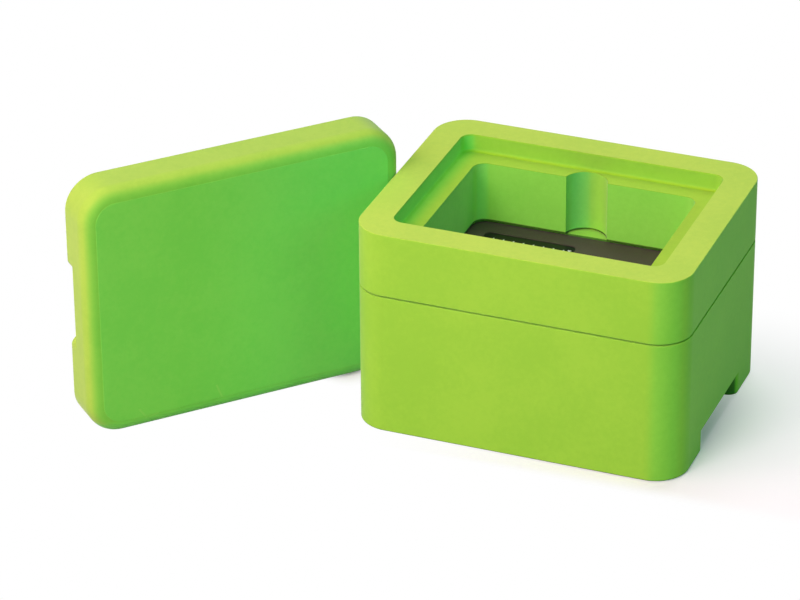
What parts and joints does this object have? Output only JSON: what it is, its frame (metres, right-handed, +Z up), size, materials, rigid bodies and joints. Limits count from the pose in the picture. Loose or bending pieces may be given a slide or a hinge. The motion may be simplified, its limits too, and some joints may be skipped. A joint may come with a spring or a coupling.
{
  "type": "tube cooling workstation",
  "caption": "Bench-top foam cooling box for sample tubes: nesting tub and collar with a stepped well, a removable cooling core, finger grooves and a lift-off lid.",
  "frame": {"origin": "middle of the box's underside, on the surface it stands on", "axes": "+Z up; X along the box's long side; -Y is the front"},
  "size_m": [0.3519, 0.2257, 0.1585],
  "materials": {
    "foam": "smooth moulded closed-cell foam, matte",
    "core_plastic": "fine-textured moulding",
    "core_top": "matte, very fine texture",
    "seal_rubber": "soft seal rubber",
    "gel": "phase-change filling",
    "label": "dark printed strip with plain pale ticks"
  },
  "bodies": {
    "base": {"base_tub": "foam"},
    "collar": {"collar": "foam"},
    "lid": {"lid": "foam"},
    "core": {"core_case": "core_plastic", "core_plate": "core_top", "core_seal": "seal_rubber", "core_gel": "gel", "core_fill_plug": "core_plastic", "core_fill_ring": "seal_rubber", "core_label": "label"}
  },
  "joints": [
    {"name": "core_lift", "type": "slide", "parent": "base", "child": "core", "axis": [0, 0, 1], "range_m": [0, 0.16]},
    {"name": "collar_lift", "type": "slide", "parent": "core", "child": "collar", "axis": [0, 0, 1], "range_m": [0, 0.12]},
    {"name": "lid_lift", "type": "slide", "parent": "base", "child": "lid", "axis": [0, 0, 1], "range_m": [0, 0.2]}
  ]
}
